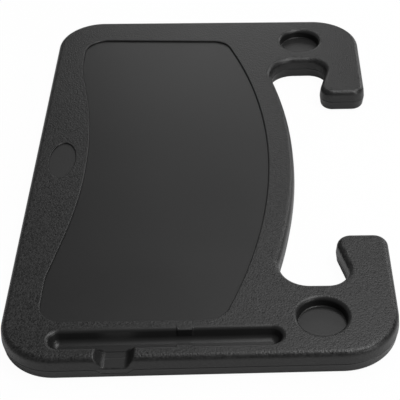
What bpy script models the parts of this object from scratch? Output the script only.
"""Tray that hangs on a steering wheel by two hooks, with a desk, cup wells and a pen groove.

Two mouldings meet at a joint line half way up the edge and are held by screws from below.
A smooth desk panel and a bare oval plate lie in pockets of the upper moulding.
Units are metres. +Z is up, X runs along the tray and +Y points to the steering wheel.
The tray rests on its underside at z = 0, with the middle of its plan at the origin.
"""

import math

import bmesh
import bpy
import numpy as np

# Plan of the tray, measured at the joint line, where it is widest
TRAY_LENGTH = 0.4321
TRAY_WIDTH = 0.27495
SIDE_TAPER = 0.0057
DRIVER_CORNER_RADIUS = 0.0394
HOOK_CORNER_RADIUS = 0.0412

# Section of the edge
TRAY_HEIGHT = 0.0196
JOINT_HEIGHT = 0.0098
WALL = 0.0022
TOP_ROUND = 0.0045
TOP_DRAFT = 0.0005
BOTTOM_ROUND = 0.0038
BOTTOM_DRAFT = 0.0008

# Cup wells, measured from the side edge and from the hook edge
CUP_SIDE_DISTANCE = 0.0348
CUP_EDGE_DISTANCE = 0.0531
CUP_RADIUS = 0.0171
CUP_DEPTH = 0.0076
CUP_RIM_ROUND = 0.0030
CUP_FLOOR_ROUND = 0.0008

# Throats and hooks, measured from the cup wells and from the hook edge
CUP_TO_THROAT = 0.0324
THROAT_LENGTH = 0.05275
HOOK_ROOT_WIDTH = 0.0282
HOOK_TIP_WIDTH = 0.0416
HOOK_TIP_DROP = 0.00025
HOOK_TIP_RADIUS = 0.0110
THROAT_HOOK_RADIUS = 0.0146
THROAT_BODY_RADIUS = 0.0208
BAY_DEPTH = 0.0651
BAY_RADIUS = 0.4770

# Desk pocket in the upper moulding, measured from the edges
DESK_BAY_BAND = 0.0207
DESK_BAY_RADIUS = 0.4608
DESK_DRIVER_BAND = 0.0431
DESK_DRIVER_BOW = 0.0170
DESK_BOW_RADIUS = 0.500
DESK_BOW_TURN = math.asin(0.19)
DESK_BEND_RADIUS = 0.050
DESK_NEAR_MARGIN = 0.0374
DESK_FAR_MARGIN = 0.0330
DESK_NEAR_LEAN_SHARE = 0.0065
DESK_FAR_LEAN_SHARE = 0.0472
DESK_DRIVER_CORNER = 0.0158
DESK_BAY_CORNER = 0.0175
DESK_STEP = 0.0013
DESK_PANEL_THICKNESS = 0.0020
DESK_PANEL_BEVEL = 0.0004

# Pen groove along the near side, with two small lugs that grip the pen
GROOVE_SIDE_DISTANCE = 0.0194
GROOVE_DRIVER_DISTANCE = 0.0366
GROOVE_HOOK_DISTANCE = 0.08095
GROOVE_HALF_WIDTH = 0.0069
GROOVE_DEPTH = 0.0084
GROOVE_RIM_ROUND = 0.0030
GROOVE_FLOOR_HALF_WIDTH = 0.0014
GROOVE_CORNER_ROUND = 0.0048
GROOVE_WALL_TURN = math.radians(70)
LUG_REACH = 0.0035
LUG_WIDTH = 0.0105
LUG_FROM_BAY = 0.0817

# Finger notch from the groove through the near edge
NOTCH_FROM_DRIVER = 0.0813
NOTCH_TOP_WIDTH = 0.0268
NOTCH_FLOOR_WIDTH = 0.0174
NOTCH_DEPTH = 0.0082
NOTCH_FLOOR_ROUND = 0.0045
TONGUE_DROP = 0.0038
TONGUE_WIDTH = 0.0180

# Oval place near the driver's edge, left bare
BADGE_HALF_LENGTH = 0.0225
BADGE_HALF_WIDTH = 0.0106
BADGE_FROM_DRIVER = 0.0229
BADGE_OFFSET = 0.0026
BADGE_STEP = 0.0010
BADGE_THICKNESS = 0.0012

# Fits
CLEARANCE = 0.0003
OVERRUN = 0.0020
LIP_THICKNESS = 0.0014
LIP_ROOT = 0.0030
LIP_NOTCH_MARGIN = 0.0030

# Screws from below, their bosses above and their wells below
SCREW_SHANK_RADIUS = 0.0015
SCREW_SHANK_LENGTH = 0.0080
SCREW_TIP_LENGTH = 0.0012
SCREW_HEAD_RADIUS = 0.0029
SCREW_HEAD_HEIGHT = 0.0017
SCREW_DRIVE_LENGTH = 0.0034
SCREW_DRIVE_WIDTH = 0.0008
SCREW_DRIVE_DEPTH = 0.0009
BOSS_WALL = 0.0017
WELL_DEPTH = 0.0026
WELL_WALL = 0.0016
WELL_FLOOR = 0.0020
BOSS_EDGE_DISTANCE = 0.0200
BOSS_CORNER_DISTANCE = 0.0210

# Studs under the desk panel, pegs under the oval plate
STUD_RADIUS = 0.0018
STUD_LENGTH = 0.0030
PEG_RADIUS = 0.0012
PEG_LENGTH = 0.0026
PEG_SPREAD_SHARE = 0.55

# Ribs on the floor of the lower moulding, under the desk
RIB_THICKNESS = 0.0016
RIB_MARGIN = 0.0060
RIB_LENGTHWISE_SHARES = (-0.72, -0.18, 0.36)
RIB_CROSSWISE_SHARES = (-0.78, -0.52, -0.26, 0.0, 0.26, 0.52, 0.78)

# Places of bosses and studs, as shares of the desk's half length and half width
DESK_BOSS_SHARES = ((0.89, -0.45), (0.39, -0.45), (-0.39, -0.45), (-0.89, -0.45))
DESK_STUD_SHARES = ((0.65, 0.08), (0.13, 0.08), (-0.13, 0.08), (-0.65, 0.08),
                    (0.65, -0.45), (0.13, -0.45), (-0.13, -0.45), (-0.65, -0.45))
EDGE_BOSS_SHARE = 0.36
BAY_BOSS_SHARE = 0.25
SHOULDER_BOSS_SHARE = 0.70

# Facets of a quarter turn, and of whole circles
CORNER_STEPS = 6
SMALL_CORNER_STEPS = 4
ROUND_STEPS = 3
BAY_STEPS = 18
CUP_SIDES = 28
BADGE_SIDES = 24
BOSS_SIDES = 8
SCREW_SIDES = 8

# Heights and places that follow from the sizes above
DRIVER_EDGE = -TRAY_WIDTH / 2
HOOK_EDGE = TRAY_WIDTH / 2
DRIVER_HALF_LENGTH = TRAY_LENGTH / 2
HOOK_HALF_LENGTH = DRIVER_HALF_LENGTH - SIDE_TAPER
CUP_X = HOOK_HALF_LENGTH - CUP_SIDE_DISTANCE
CUP_Y = HOOK_EDGE - CUP_EDGE_DISTANCE
CUP_FLOOR = TRAY_HEIGHT - CUP_DEPTH
THROAT_END = CUP_X - CUP_TO_THROAT
HOOK_TIP = THROAT_END - THROAT_LENGTH
BAY_APEX = HOOK_EDGE - BAY_DEPTH
BAY_CENTRE = np.array([0.0, BAY_APEX - BAY_RADIUS])
DESK_BAY_APEX = BAY_APEX - DESK_BAY_BAND
DESK_DRIVER_APEX = DRIVER_EDGE + DESK_DRIVER_BAND
DESK_FLOOR = TRAY_HEIGHT - DESK_STEP - DESK_PANEL_THICKNESS - CLEARANCE
DESK_UNDERSIDE = DESK_FLOOR - WALL
DESK_MIDDLE = (DESK_BAY_APEX + DESK_DRIVER_APEX) / 2
DESK_HALF_WIDTH = (DESK_BAY_APEX - DESK_DRIVER_APEX) / 2
DESK_HALF_LENGTH = DRIVER_HALF_LENGTH - DESK_NEAR_MARGIN
BADGE_FLOOR = TRAY_HEIGHT - BADGE_STEP - BADGE_THICKNESS - CLEARANCE
NOTCH_Y = DRIVER_EDGE + NOTCH_FROM_DRIVER
NOTCH_FLOOR = TRAY_HEIGHT - NOTCH_DEPTH
TONGUE_END = JOINT_HEIGHT - TONGUE_DROP
SEAT_GAP = CLEARANCE / 2
WELL_TOP = WELL_DEPTH + WELL_FLOOR
BOSS_END = WELL_TOP + CLEARANCE
BORE_RADIUS = SCREW_SHANK_RADIUS + CLEARANCE
BOSS_RADIUS = BORE_RADIUS + BOSS_WALL
WELL_RADIUS = SCREW_HEAD_RADIUS + CLEARANCE
RIB_TOP = DESK_UNDERSIDE - CLEARANCE

# Colours and finishes: linear colour, roughness, metallic
FINISHES = {
    "grained_plastic": ((0.050, 0.051, 0.053), 0.62, 0.0),
    "smooth_plastic": ((0.044, 0.045, 0.047), 0.42, 0.0),
    "lower_plastic": ((0.042, 0.043, 0.045), 0.50, 0.0),
    "screw_steel": ((0.30, 0.30, 0.31), 0.35, 1.0),
}


def unit(vector):
    """The vector scaled to length one."""
    return vector / np.hypot(*vector)


def right_of(heading):
    """The heading turned a quarter to the right: out of a loop that is walked with the body on its left."""
    return np.array([heading[1], -heading[0]])


def arc(centre, radius, first_normal, last_normal, steps):
    """Points and outward normals of an arc.

    The outward normal turns evenly from the first to the last direction, by the shorter way. The point is
    the centre plus the radius times the normal where the loop turns left, and minus it where it turns right.
    """
    start = math.atan2(first_normal[1], first_normal[0])
    turn = math.atan2(last_normal[1], last_normal[0]) - start
    turn = (turn + math.pi) % (2 * math.pi) - math.pi
    angles = start + turn * np.linspace(0, 1, steps + 1)
    normals = np.column_stack([np.cos(angles), np.sin(angles)])
    points = centre + math.copysign(radius, turn) * normals
    return points, normals


def corner(before, vertex, after, radius, steps):
    """Arc that rounds one corner of a loop of straight lines."""
    arriving = unit(vertex - before)
    leaving = unit(after - vertex)
    turn = math.atan2(arriving[0] * leaving[1] - arriving[1] * leaving[0], arriving @ leaving)
    reach = radius * math.tan(abs(turn) / 2)
    centre = vertex - arriving * reach - right_of(arriving) * math.copysign(radius, turn)
    return arc(centre, radius, right_of(arriving), right_of(leaving), steps)


def meet_circle(point, heading, centre, distance):
    """Point on a line, on its way along the heading, where it leaves the circle of this radius."""
    along = (centre - point) @ heading
    foot = point + along * heading
    return foot + heading * math.sqrt(distance ** 2 - (foot - centre) @ (foot - centre))


def loop(pieces):
    """One closed loop from arcs, without the points that two neighbours share."""
    points = np.vstack([piece[0] for piece in pieces])
    normals = np.vstack([piece[1] for piece in pieces])
    step = points - np.roll(points, 1, axis=0)
    keep = np.hypot(step[:, 0], step[:, 1]) > CLEARANCE / 10
    return points[keep], normals[keep]


def mirrored(piece):
    """The same arc on the other side of the middle, walked the same way round."""
    points, normals = piece
    flip = np.array([-1, 1])
    return points[::-1] * flip, normals[::-1] * flip


def tray_outline():
    """Plan of the whole tray at the joint line, hooks and throats included."""
    drop = HOOK_TIP_DROP / (HOOK_HALF_LENGTH - HOOK_TIP)
    driver_middle = np.array([0.0, DRIVER_EDGE])
    driver_corner = np.array([DRIVER_HALF_LENGTH, DRIVER_EDGE])
    hook_corner = np.array([HOOK_HALF_LENGTH, HOOK_EDGE + drop * HOOK_CORNER_RADIUS])
    tip_outer = np.array([HOOK_TIP, HOOK_EDGE - HOOK_TIP_DROP])
    tip_inner = np.array([HOOK_TIP, HOOK_EDGE - HOOK_TIP_DROP - HOOK_TIP_WIDTH])
    throat_hook = np.array([THROAT_END, HOOK_EDGE - HOOK_ROOT_WIDTH])
    throat_body = np.array([THROAT_END, BAY_APEX])
    body_centre = meet_circle(np.array([THROAT_END - THROAT_BODY_RADIUS, 0.0]), np.array([0.0, 1.0]),
                              BAY_CENTRE, BAY_RADIUS + THROAT_BODY_RADIUS)
    bay_normal = unit(body_centre - BAY_CENTRE)
    half = [
        corner(driver_middle, driver_corner, hook_corner, DRIVER_CORNER_RADIUS, CORNER_STEPS),
        corner(driver_corner, hook_corner, tip_outer, HOOK_CORNER_RADIUS, CORNER_STEPS),
        corner(hook_corner, tip_outer, tip_inner, HOOK_TIP_RADIUS, SMALL_CORNER_STEPS),
        corner(tip_outer, tip_inner, throat_hook, HOOK_TIP_RADIUS, SMALL_CORNER_STEPS),
        corner(tip_inner, throat_hook, throat_body, THROAT_HOOK_RADIUS, SMALL_CORNER_STEPS),
        arc(body_centre, THROAT_BODY_RADIUS, np.array([-1.0, 0.0]), bay_normal, CORNER_STEPS),
    ]
    bay = arc(BAY_CENTRE, BAY_RADIUS, bay_normal, bay_normal * np.array([-1, 1]), BAY_STEPS)
    return loop(half + [bay] + [mirrored(piece) for piece in reversed(half)])


def driver_bow(level):
    """Flat arc of the desk's driver's side, its end, and the knee where its straight end meets the level."""
    centre = np.array([0.0, DESK_DRIVER_APEX - DESK_BOW_RADIUS])
    last = -np.array([math.sin(DESK_BOW_TURN), math.cos(DESK_BOW_TURN)])
    bow = arc(centre, DESK_BOW_RADIUS, last * np.array([-1, 1]), last, BAY_STEPS)
    end = bow[0][-1]
    knee = np.array([end[0] + (end[1] - level) / math.tan(DESK_BOW_TURN), level])
    return bow, end, knee


def desk_outline():
    """Plan of the desk pocket: a bowed driver's side that bends at its ends, the bay's arc, straight sides."""
    driver_side = DESK_DRIVER_APEX - DESK_DRIVER_BOW
    bay_centre = np.array([0.0, DESK_BAY_APEX - DESK_BAY_RADIUS])
    pieces = {}
    bow, end, knee = driver_bow(driver_side)
    for name, margin, lean in (("near", DESK_NEAR_MARGIN, DESK_NEAR_LEAN_SHARE),
                               ("far", DESK_FAR_MARGIN, DESK_FAR_LEAN_SHARE)):
        foot = np.array([DRIVER_HALF_LENGTH - margin, driver_side])
        heading = unit(np.array([-lean, 1.0]))
        bend = corner(end, knee, foot, DESK_BEND_RADIUS, SMALL_CORNER_STEPS)
        driver_arc = corner(knee, foot, foot + heading, DESK_DRIVER_CORNER, CORNER_STEPS)
        inner = foot - right_of(heading) * DESK_BAY_CORNER
        centre = meet_circle(inner, heading, bay_centre, DESK_BAY_RADIUS - DESK_BAY_CORNER)
        bay_normal = unit(centre - bay_centre)
        bay_arc = arc(centre, DESK_BAY_CORNER, right_of(heading), bay_normal, SMALL_CORNER_STEPS)
        pieces[name] = [bend, driver_arc, bay_arc]
    far = [mirrored(piece) for piece in reversed(pieces["far"])]
    bay = arc(bay_centre, DESK_BAY_RADIUS, pieces["near"][-1][1][-1], far[0][1][0], BAY_STEPS)
    return loop([bow] + pieces["near"] + [bay] + far)


def circle_outline(x, y, radius, sides):
    """Circle about a point in plan."""
    angles = 2 * math.pi * np.arange(sides) / sides
    normals = np.column_stack([np.cos(angles), np.sin(angles)])
    return np.array([x, y]) + radius * normals, normals


def badge_outline():
    """Ellipse of the oval place, whose normal is (b cos t, a sin t) scaled to length one."""
    angles = 2 * math.pi * np.arange(BADGE_SIDES) / BADGE_SIDES
    cosines = np.cos(angles)
    sines = np.sin(angles)
    points = np.column_stack([BADGE_HALF_LENGTH * cosines - BADGE_OFFSET,
                              BADGE_HALF_WIDTH * sines + DRIVER_EDGE + BADGE_FROM_DRIVER])
    normals = np.column_stack([cosines * BADGE_HALF_WIDTH, sines * BADGE_HALF_LENGTH])
    return points, normals / np.hypot(normals[:, 0], normals[:, 1])[:, None]


def groove_line():
    """Ends of the groove's middle line, which runs parallel to the near side of the tray."""
    heading = unit(np.array([-SIDE_TAPER, TRAY_WIDTH]))
    edge_point = np.array([DRIVER_HALF_LENGTH, DRIVER_EDGE]) - right_of(heading) * GROOVE_SIDE_DISTANCE
    start = edge_point + heading * (GROOVE_DRIVER_DISTANCE + GROOVE_HALF_WIDTH)
    end = edge_point + heading * (TRAY_WIDTH - GROOVE_HOOK_DISTANCE - GROOVE_HALF_WIDTH)
    return start, end, heading


def groove_outline():
    """Slot with round ends round the groove's middle line."""
    start, end, heading = groove_line()
    side = right_of(heading)
    return loop([
        arc(start, GROOVE_HALF_WIDTH, -side, -heading, CORNER_STEPS),
        arc(start, GROOVE_HALF_WIDTH, -heading, side, CORNER_STEPS),
        arc(end, GROOVE_HALF_WIDTH, side, heading, CORNER_STEPS),
        arc(end, GROOVE_HALF_WIDTH, heading, -side, CORNER_STEPS),
    ])


def quarter(steps):
    """Sines and cosines of even steps over a quarter turn."""
    angles = np.linspace(0, math.pi / 2, steps + 1)
    return list(zip(np.sin(angles), np.cos(angles)))


def edge_profile():
    """Section of the outer wall from underside to top, as pairs of inset and height."""
    lower = [(BOTTOM_DRAFT + BOTTOM_ROUND * (1 - sine), BOTTOM_ROUND * (1 - cosine))
             for sine, cosine in quarter(ROUND_STEPS - 1)]
    upper = [(TOP_DRAFT + TOP_ROUND * (1 - cosine), TRAY_HEIGHT - TOP_ROUND * (1 - sine))
             for sine, cosine in quarter(ROUND_STEPS)]
    return lower + [(0.0, JOINT_HEIGHT)] + upper


def inset_at(height):
    """How far the outer wall lies inside the joint line's outline at one height."""
    insets, heights = zip(*edge_profile())
    return float(np.interp(height, heights, insets))


def cavity_profile(lowest):
    """Inner face of the upper moulding's wall, one wall thickness inside the outer face."""
    radius = max(TOP_ROUND - WALL, CLEARANCE)
    upper = [(TOP_DRAFT + WALL + radius * (1 - cosine), TRAY_HEIGHT - WALL - radius * (1 - sine))
             for sine, cosine in quarter(ROUND_STEPS - 1)]
    return [(WALL + BOTTOM_DRAFT, lowest), (WALL, JOINT_HEIGHT)] + upper


def ring(outline, inset, height):
    """The outline moved inwards by the inset, at one height."""
    points, normals = outline
    plan = points - inset * normals
    return np.column_stack([plan, np.full(len(plan), height)])


def stack(outline, profile):
    """Rings of one outline through a profile of inset and height."""
    return [ring(outline, inset, height) for inset, height in profile]


def add_object(name, stacks):
    """Mesh object with one closed body for each stack of rings, capped at both ends."""
    vertices = []
    faces = []
    for rings in stacks:
        base = len(vertices)
        count = len(rings[0])
        vertices += [tuple(point) for points in rings for point in points]
        for level in range(len(rings) - 1):
            low = base + level * count
            faces += [(low + i, low + (i + 1) % count, low + count + (i + 1) % count, low + count + i)
                      for i in range(count)]
        top = base + (len(rings) - 1) * count
        faces.append(tuple(base + i for i in reversed(range(count))))
        faces.append(tuple(top + i for i in range(count)))
    mesh = bpy.data.meshes.new(name)
    mesh.from_pydata(vertices, [], faces)
    body = bpy.data.objects.new(name, mesh)
    bpy.context.scene.collection.objects.link(body)
    return body


def add_block(name, low, high):
    """Box between two corners."""
    x = np.array([low[0], high[0], high[0], low[0]])
    y = np.array([low[1], low[1], high[1], high[1]])
    return add_object(name, [[np.column_stack([x, y, np.full(4, z)]) for z in (low[2], high[2])]])


def add_posts(name, places, radius, bottom, top, sides):
    """Upright round posts at each place, as one object of separate bodies."""
    return add_object(name, [stack(circle_outline(x, y, radius, sides), [(0.0, bottom), (0.0, top)])
                             for x, y in places])


def combine(body, tools, operation):
    """Cut, join or intersect the body with each tool, and take the tools away."""
    for tool in tools:
        modifier = body.modifiers.new(tool.name, "BOOLEAN")
        modifier.operation = operation
        modifier.solver = "EXACT"
        modifier.object = tool
    graph = bpy.context.evaluated_depsgraph_get()
    mesh = bpy.data.meshes.new_from_object(body.evaluated_get(graph))
    body.modifiers.clear()
    body.data = mesh
    for tool in tools:
        bpy.data.objects.remove(tool)
    return body


def cut(body, *tools):
    """Take the tools' shapes away from the body."""
    return combine(body, tools, "DIFFERENCE")


def join(body, *tools):
    """Add the tools' shapes to the body."""
    return combine(body, tools, "UNION")


def finish(body, name, material):
    """Name the part, give it its material and clean its mesh."""
    body.name = name
    body.data.name = name
    mesh = bmesh.new()
    mesh.from_mesh(body.data)
    bmesh.ops.remove_doubles(mesh, verts=mesh.verts, dist=CLEARANCE / 100)
    bmesh.ops.dissolve_degenerate(mesh, edges=mesh.edges, dist=CLEARANCE / 100)
    mesh.to_mesh(body.data)
    mesh.free()
    body.data.materials.clear()
    body.data.materials.append(material)
    body.data.shade_smooth()
    body.data.set_sharp_from_angle(angle=math.radians(35))
    return body


def make_materials():
    """One plain material for each finish."""
    materials = {}
    for name, (colour, roughness, metallic) in FINISHES.items():
        material = bpy.data.materials.new(name)
        material.use_nodes = True
        shader = material.node_tree.nodes["Principled BSDF"]
        shader.inputs["Base Color"].default_value = (*colour, 1)
        shader.inputs["Roughness"].default_value = roughness
        shader.inputs["Metallic"].default_value = metallic
        materials[name] = material
    return materials


def boss_places():
    """Screws at the hooks, the corners, the bands round the desk, and under the desk."""
    edge = HOOK_EDGE - BOSS_EDGE_DISTANCE
    shoulder = SHOULDER_BOSS_SHARE * DRIVER_HALF_LENGTH
    bay = BAY_BOSS_SHARE * DRIVER_HALF_LENGTH
    bay_middle = BAY_CENTRE[1] + math.sqrt(BAY_RADIUS ** 2 - bay ** 2) - DESK_BAY_BAND / 2
    driver = DRIVER_EDGE + BOSS_CORNER_DISTANCE
    half = [
        (HOOK_TIP + BOSS_EDGE_DISTANCE, edge),
        (CUP_X - BOSS_EDGE_DISTANCE, edge),
        (shoulder, CUP_Y - 2 * BOSS_EDGE_DISTANCE),
        (bay, bay_middle),
        (DRIVER_HALF_LENGTH - BOSS_CORNER_DISTANCE, driver),
        (EDGE_BOSS_SHARE * DRIVER_HALF_LENGTH, driver),
    ]
    desk = [(x * DESK_HALF_LENGTH, DESK_MIDDLE + y * DESK_HALF_WIDTH) for x, y in DESK_BOSS_SHARES]
    return half + [(-x, y) for x, y in half] + desk


def stud_places():
    """Studs under the desk panel."""
    return [(x * DESK_HALF_LENGTH, DESK_MIDDLE + y * DESK_HALF_WIDTH) for x, y in DESK_STUD_SHARES]


def peg_places():
    """Pegs under the oval plate."""
    spread = PEG_SPREAD_SHARE * BADGE_HALF_LENGTH
    return [(sign * spread - BADGE_OFFSET, DRIVER_EDGE + BADGE_FROM_DRIVER) for sign in (-1, 1)]


def cup_profile(extra):
    """Section of a cup well from its floor up, grown outwards and downwards by the extra."""
    floor_round = CUP_FLOOR_ROUND + extra
    floor = [(floor_round * (1 - sine) - extra, CUP_FLOOR - extra + floor_round * (1 - cosine))
             for sine, cosine in quarter(ROUND_STEPS - 1)]
    if extra:
        return floor + [(-extra, TRAY_HEIGHT + OVERRUN)]
    rim = [(-CUP_RIM_ROUND * (1 - cosine), TRAY_HEIGHT - CUP_RIM_ROUND * (1 - sine))
           for sine, cosine in quarter(ROUND_STEPS - 1)]
    return floor + rim + [(-CUP_RIM_ROUND, TRAY_HEIGHT + OVERRUN)]


def cup_tools(name, extra):
    """Both cup wells, or the solids that stand round them, as one tool."""
    outlines = [circle_outline(side * CUP_X, CUP_Y, CUP_RADIUS, CUP_SIDES) for side in (-1, 1)]
    return add_object(name, [stack(outline, cup_profile(extra)) for outline in outlines])


def groove_profile(extra):
    """Section of the groove from its floor up, grown by the extra: round corner, leaning wall, round rim."""
    corner_round = GROOVE_CORNER_ROUND + extra
    floor = TRAY_HEIGHT - GROOVE_DEPTH - extra
    inset = GROOVE_HALF_WIDTH - GROOVE_FLOOR_HALF_WIDTH
    bowl = [(inset - corner_round * math.sin(angle), floor + corner_round * (1 - math.cos(angle)))
            for angle in np.linspace(0, GROOVE_WALL_TURN, ROUND_STEPS + 2)]
    if extra:
        return bowl + [(-extra, TRAY_HEIGHT - GROOVE_RIM_ROUND), (-extra, TRAY_HEIGHT + OVERRUN)]
    rim = [(-GROOVE_RIM_ROUND * (1 - math.sin(angle)), TRAY_HEIGHT - GROOVE_RIM_ROUND * (1 - math.cos(angle)))
           for angle in np.linspace(GROOVE_WALL_TURN, 0, ROUND_STEPS)]
    return bowl + rim + [(-GROOVE_RIM_ROUND, TRAY_HEIGHT + OVERRUN)]


def lug_blocks():
    """Two blocks that stay uncut at the groove's sides and make its lugs."""
    start, _, heading = groove_line()
    side = right_of(heading)
    middle = start + heading * (BAY_APEX - LUG_FROM_BAY - start[1])
    blocks = []
    for sign in (-1, 1):
        inner = GROOVE_HALF_WIDTH + GROOVE_RIM_ROUND - LUG_REACH
        outer = GROOVE_HALF_WIDTH + 2 * OVERRUN
        corners = [middle + sign * side * across + heading * along
                   for across, along in ((inner, -LUG_WIDTH / 2), (outer, -LUG_WIDTH / 2),
                                         (outer, LUG_WIDTH / 2), (inner, LUG_WIDTH / 2))]
        plan = np.array(corners[::sign])
        blocks.append([np.column_stack([plan, np.full(4, height)])
                       for height in (TRAY_HEIGHT - GROOVE_DEPTH - OVERRUN, TRAY_HEIGHT + 2 * OVERRUN)])
    return blocks


def groove_tool(name, extra):
    """The groove, or the solid that stands round it."""
    tool = add_object(name, [stack(groove_outline(), groove_profile(extra))])
    if extra:
        return tool
    return cut(tool, add_object("groove_lugs", lug_blocks()))


def notch_tool(name, extra):
    """Finger notch as a prism along X: a flat floor, round corners and leaning sides."""
    slope = (NOTCH_TOP_WIDTH - NOTCH_FLOOR_WIDTH) / (2 * NOTCH_DEPTH)
    rise = NOTCH_DEPTH + OVERRUN
    floor = np.array([NOTCH_Y + NOTCH_FLOOR_WIDTH / 2, NOTCH_FLOOR])
    top = floor + np.array([rise * slope, rise])
    far_floor = np.array([NOTCH_Y - NOTCH_FLOOR_WIDTH / 2, NOTCH_FLOOR])
    far_top = far_floor + np.array([-rise * slope, rise])
    right = corner(far_floor, floor, top, NOTCH_FLOOR_ROUND, ROUND_STEPS)
    left = corner(far_top, far_floor, floor, NOTCH_FLOOR_ROUND, ROUND_STEPS)
    rim_right = (top[None, :], right[1][-1:])
    rim_left = (far_top[None, :], left[1][:1])
    points, normals = loop([left, right, rim_right, rim_left])
    section = points + extra * normals
    start = groove_line()[0][0]
    return add_object(name, [[np.column_stack([np.full(len(section), x), section])
                              for x in (start - GROOVE_FLOOR_HALF_WIDTH, DRIVER_HALF_LENGTH + OVERRUN)]])


def tongue_tool(name, grow):
    """Prism along X for the tongue of the upper moulding that reaches down under the notch."""
    foot = TONGUE_WIDTH / 2 + grow
    head = foot + JOINT_HEIGHT - TONGUE_END + OVERRUN
    low = TONGUE_END - grow
    high = JOINT_HEIGHT + OVERRUN
    section = np.array([[NOTCH_Y - foot, low], [NOTCH_Y + foot, low], [NOTCH_Y + head, high],
                        [NOTCH_Y - head, high]])
    start = groove_line()[0][0]
    return add_object(name, [[np.column_stack([np.full(4, x), section])
                              for x in (start, DRIVER_HALF_LENGTH + 2 * OVERRUN)]])


def around_tray(name, bottom, top):
    """Block wider than the tray between two heights."""
    reach = DRIVER_HALF_LENGTH + OVERRUN
    return add_block(name, (-reach, DRIVER_EDGE - OVERRUN, bottom), (reach, HOOK_EDGE + OVERRUN, top))


def make_top_shell(outline, desk, material):
    """Upper moulding: rim and hooks, pockets, wells, groove, notch, and bosses for the screws."""
    badge = badge_outline()
    above = TRAY_HEIGHT + OVERRUN
    shell = add_object("top_blank", [stack(outline, edge_profile())])
    below = around_tray("below_joint", -OVERRUN, JOINT_HEIGHT + SEAT_GAP)
    cut(shell, cut(below, tongue_tool("tongue", 0.0)))
    cavity = add_object("top_cavity", [stack(outline, cavity_profile(-2 * OVERRUN))])
    desk_tub = add_object("desk_tub", [stack(desk, [(-WALL, DESK_UNDERSIDE), (-WALL, TRAY_HEIGHT)])])
    badge_tub = add_object("badge_tub", [stack(badge, [(-WALL, BADGE_FLOOR - WALL), (-WALL, TRAY_HEIGHT)])])
    bosses = add_posts("bosses", boss_places(), BOSS_RADIUS, BOSS_END, TRAY_HEIGHT, BOSS_SIDES)
    cut(cavity, desk_tub, badge_tub, cup_tools("cup_tubs", WALL), groove_tool("groove_tub", WALL),
        notch_tool("notch_tub", WALL), bosses)
    desk_pocket = add_object("desk_pocket", [stack(desk, [(0.0, DESK_FLOOR), (0.0, above)])])
    badge_pocket = add_object("badge_pocket", [stack(badge, [(0.0, BADGE_FLOOR), (0.0, above)])])
    bores_top = BOSS_END + SCREW_SHANK_LENGTH - WELL_FLOOR
    bores = add_posts("bores", boss_places(), BORE_RADIUS, BOSS_END - OVERRUN, bores_top, BOSS_SIDES)
    stud_holes = add_posts("stud_holes", stud_places(), STUD_RADIUS + CLEARANCE, DESK_UNDERSIDE - OVERRUN,
                           DESK_FLOOR + OVERRUN, BOSS_SIDES)
    peg_holes = add_posts("peg_holes", peg_places(), PEG_RADIUS + CLEARANCE, BADGE_FLOOR - WALL - OVERRUN,
                          BADGE_FLOOR + OVERRUN, BOSS_SIDES)
    cut(shell, cavity, desk_pocket, badge_pocket, cup_tools("cups", 0.0), groove_tool("groove", 0.0),
        notch_tool("notch", 0.0), bores, stud_holes, peg_holes)
    return finish(shell, "top_shell", material)


def rib_grid(desk):
    """Ribs under the desk: a grid of upright walls, kept inside the desk's outline."""
    profile = [(RIB_MARGIN, WALL - CLEARANCE), (RIB_MARGIN, RIB_TOP + OVERRUN)]
    field = add_object("ribs", [stack(desk, profile)])
    half = RIB_THICKNESS / 2
    reach = DRIVER_HALF_LENGTH
    lines = [DESK_MIDDLE + share * DESK_HALF_WIDTH for share in RIB_LENGTHWISE_SHARES]
    walls = [((-reach, y - half), (reach, y + half)) for y in lines]
    columns = [share * DESK_HALF_LENGTH for share in RIB_CROSSWISE_SHARES]
    walls += [((x - half, DRIVER_EDGE), (x + half, HOOK_EDGE)) for x in columns]
    blocks = [add_block("rib_wall", (*low, -OVERRUN), (*high, TRAY_HEIGHT)) for low, high in walls]
    return combine(field, [join(blocks[0], *blocks[1:])], "INTERSECT")


def make_bottom_shell(outline, desk, material):
    """Lower moulding: rounded edge, a lip inside the upper wall, ribs, and wells for the screw heads."""
    shell = add_object("bottom_blank", [stack(outline, edge_profile())])
    above = around_tray("above_joint", JOINT_HEIGHT - SEAT_GAP, TRAY_HEIGHT + OVERRUN)
    cut(shell, join(above, tongue_tool("tongue", CLEARANCE)))
    lip_inset = WALL + CLEARANCE
    lip_inner = lip_inset + LIP_THICKNESS
    shelf = JOINT_HEIGHT - LIP_ROOT
    lip = add_object("lip", [stack(outline, [(lip_inset + BOTTOM_DRAFT, WALL), (lip_inset, JOINT_HEIGHT),
                                             (lip_inset + inset_at(RIB_TOP), RIB_TOP)])])
    low = add_object("low_cavity", [stack(outline, [(WALL + inset_at(WALL), WALL), (WALL, shelf)])])
    lip_bore = [(lip_inner, shelf - CLEARANCE), (lip_inner, TRAY_HEIGHT)]
    high = add_object("high_cavity", [stack(outline, lip_bore)])
    start = groove_line()[0][0]
    half_gap = NOTCH_TOP_WIDTH / 2 + WALL + LIP_NOTCH_MARGIN
    lip_gap = add_block("lip_gap", (start, NOTCH_Y - half_gap, shelf + CLEARANCE),
                        (DRIVER_HALF_LENGTH - WALL, NOTCH_Y + half_gap, TRAY_HEIGHT))
    join(shell, cut(lip, lip_gap))
    wells = add_posts("wells", boss_places(), WELL_RADIUS + WELL_WALL, -OVERRUN, WELL_TOP, BOSS_SIDES)
    cavity = cut(join(low, high), wells, rib_grid(desk))
    heads = add_posts("heads", boss_places(), WELL_RADIUS, -OVERRUN, WELL_DEPTH, BOSS_SIDES)
    holes = add_posts("holes", boss_places(), BORE_RADIUS, -OVERRUN, WELL_TOP + OVERRUN, BOSS_SIDES)
    cut(shell, cavity, heads, holes)
    return finish(shell, "bottom_shell", material)


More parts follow.
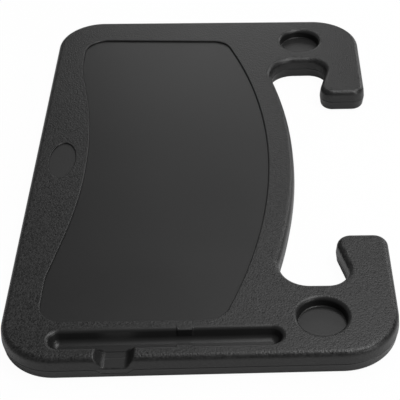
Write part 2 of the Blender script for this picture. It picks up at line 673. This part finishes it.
def make_desk_panel(desk, material):
    """Smooth panel that lies in the desk pocket, with studs that pass through the pocket's floor."""
    bottom = DESK_FLOOR + CLEARANCE
    top = bottom + DESK_PANEL_THICKNESS
    profile = [(CLEARANCE, bottom), (CLEARANCE, top - DESK_PANEL_BEVEL), (CLEARANCE + DESK_PANEL_BEVEL, top)]
    panel = add_object("panel_blank", [stack(desk, profile)])
    middle = bottom + DESK_PANEL_THICKNESS / 2
    join(panel, add_posts("studs", stud_places(), STUD_RADIUS, bottom - STUD_LENGTH, middle, BOSS_SIDES))
    return finish(panel, "desk_panel", material)


def make_badge_plate(material):
    """Bare oval plate near the driver's edge, on two pegs."""
    bottom = BADGE_FLOOR + CLEARANCE
    top = bottom + BADGE_THICKNESS
    plate = add_object("badge_blank", [stack(badge_outline(), [(CLEARANCE, bottom), (CLEARANCE, top)])])
    middle = bottom + BADGE_THICKNESS / 2
    join(plate, add_posts("pegs", peg_places(), PEG_RADIUS, bottom - PEG_LENGTH, middle, BOSS_SIDES))
    return finish(plate, "badge_plate", material)


def make_screws(material):
    """Self-tapping screws from below: one mesh, and one object for each place."""
    seat = WELL_DEPTH - CLEARANCE
    lowest = seat - SCREW_HEAD_HEIGHT
    neck = seat + SCREW_SHANK_LENGTH - SCREW_TIP_LENGTH
    rim = SCREW_HEAD_RADIUS - SCREW_SHANK_RADIUS
    point = (SCREW_HEAD_RADIUS - SCREW_SHANK_RADIUS / 3, seat + SCREW_SHANK_LENGTH)
    profile = [(rim / 2, lowest), (0.0, lowest + SCREW_HEAD_HEIGHT / 2), (0.0, seat),
               (rim, seat), (rim, neck), point]
    outline = circle_outline(0.0, 0.0, SCREW_HEAD_RADIUS, SCREW_SIDES)
    screw = add_object("screw_blank", [stack(outline, profile)])
    half_length = SCREW_DRIVE_LENGTH / 2
    half_width = SCREW_DRIVE_WIDTH / 2
    low = lowest - OVERRUN
    high = lowest + SCREW_DRIVE_DEPTH
    for across, along in ((half_length, half_width), (half_width, half_length)):
        cut(screw, add_block("drive", (-across, -along, low), (across, along, high)))
    finish(screw, "screw", material)
    places = boss_places()
    for number, (x, y) in enumerate(places, start=1):
        copy = bpy.data.objects.new(f"screw_{number:02d}", screw.data)
        copy.location = (x, y, 0)
        bpy.context.scene.collection.objects.link(copy)
    bpy.data.objects.remove(screw)


def main():
    """Build every part of the tray."""
    for leftover in list(bpy.data.objects):
        bpy.data.objects.remove(leftover)
    materials = make_materials()
    outline = tray_outline()
    desk = desk_outline()
    make_top_shell(outline, desk, materials["grained_plastic"])
    make_bottom_shell(outline, desk, materials["lower_plastic"])
    make_desk_panel(desk, materials["smooth_plastic"])
    make_badge_plate(materials["smooth_plastic"])
    make_screws(materials["screw_steel"])


main()
